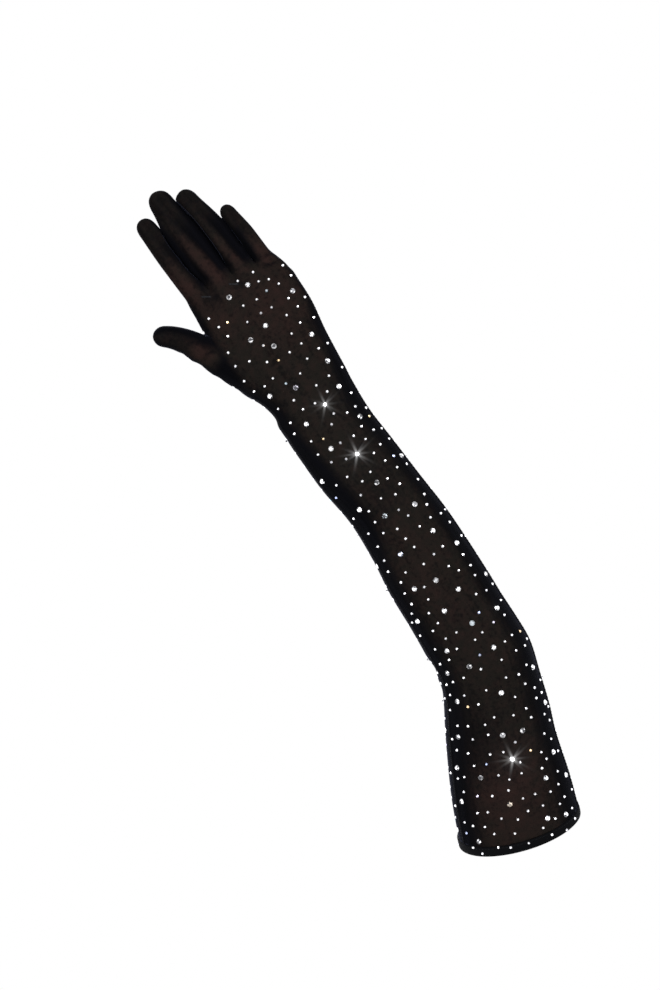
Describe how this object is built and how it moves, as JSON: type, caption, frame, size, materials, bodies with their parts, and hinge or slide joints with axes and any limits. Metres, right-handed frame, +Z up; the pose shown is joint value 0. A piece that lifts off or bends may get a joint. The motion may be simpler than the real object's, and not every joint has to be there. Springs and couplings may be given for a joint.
{
  "type": "rhinestone glove",
  "caption": "Opera-length dress glove for the left hand in sheer stretch mesh, scattered with flat-backed crystals, open at the doubled cuff hem.",
  "frame": {"origin": "middle of the wrist, on the middle line of the forearm", "axes": "+Z up the hand to the fingertips, +X to the little finger's side, palm facing -Y"},
  "size_m": [0.1541, 0.1139, 0.5461],
  "materials": {
    "mesh_cloth": "sheer black stretch mesh, matt with a faint sheen",
    "hem_cloth": "doubled black mesh, opaque and matt",
    "seam_cloth": "black overlocked seam, matt",
    "crystal": "clear cut crystal with a silvered back, high gloss"
  },
  "bodies": {
    "root": {"palm_panel": "mesh_cloth", "back_panel": "mesh_cloth", "thumb": "mesh_cloth", "cuff_hem": "hem_cloth", "finger_index": "mesh_cloth", "finger_middle": "mesh_cloth", "finger_ring": "mesh_cloth", "finger_little": "mesh_cloth", "seam_thumb_side": "seam_cloth", "seam_little_finger_side": "seam_cloth", "stone_01": "crystal", "stone_02": "crystal", "stone_03": "crystal", "stone_04": "crystal", "stone_05": "crystal", "stone_06": "crystal", "stone_07": "crystal", "stone_08": "crystal", "stone_09": "crystal", "stone_10": "crystal", "stone_11": "crystal", "stone_12": "crystal", "stone_13": "crystal", "stone_14": "crystal", "stone_15": "crystal", "stone_16": "crystal", "stone_17": "crystal", "stone_18": "crystal", "stone_19": "crystal", "stone_20": "crystal", "stone_21": "crystal", "stone_22": "crystal", "stone_23": "crystal", "stone_24": "crystal", "stone_25": "crystal", "stone_26": "crystal", "stone_27": "crystal", "stone_28": "crystal", "stone_29": "crystal", "stone_30": "crystal", "stone_31": "crystal", "stone_32": "crystal", "stone_33": "crystal", "stone_34": "crystal", "stone_35": "crystal", "stone_36": "crystal", "stone_37": "crystal", "stone_38": "crystal", "stone_39": "crystal"}
  },
  "joints": []
}
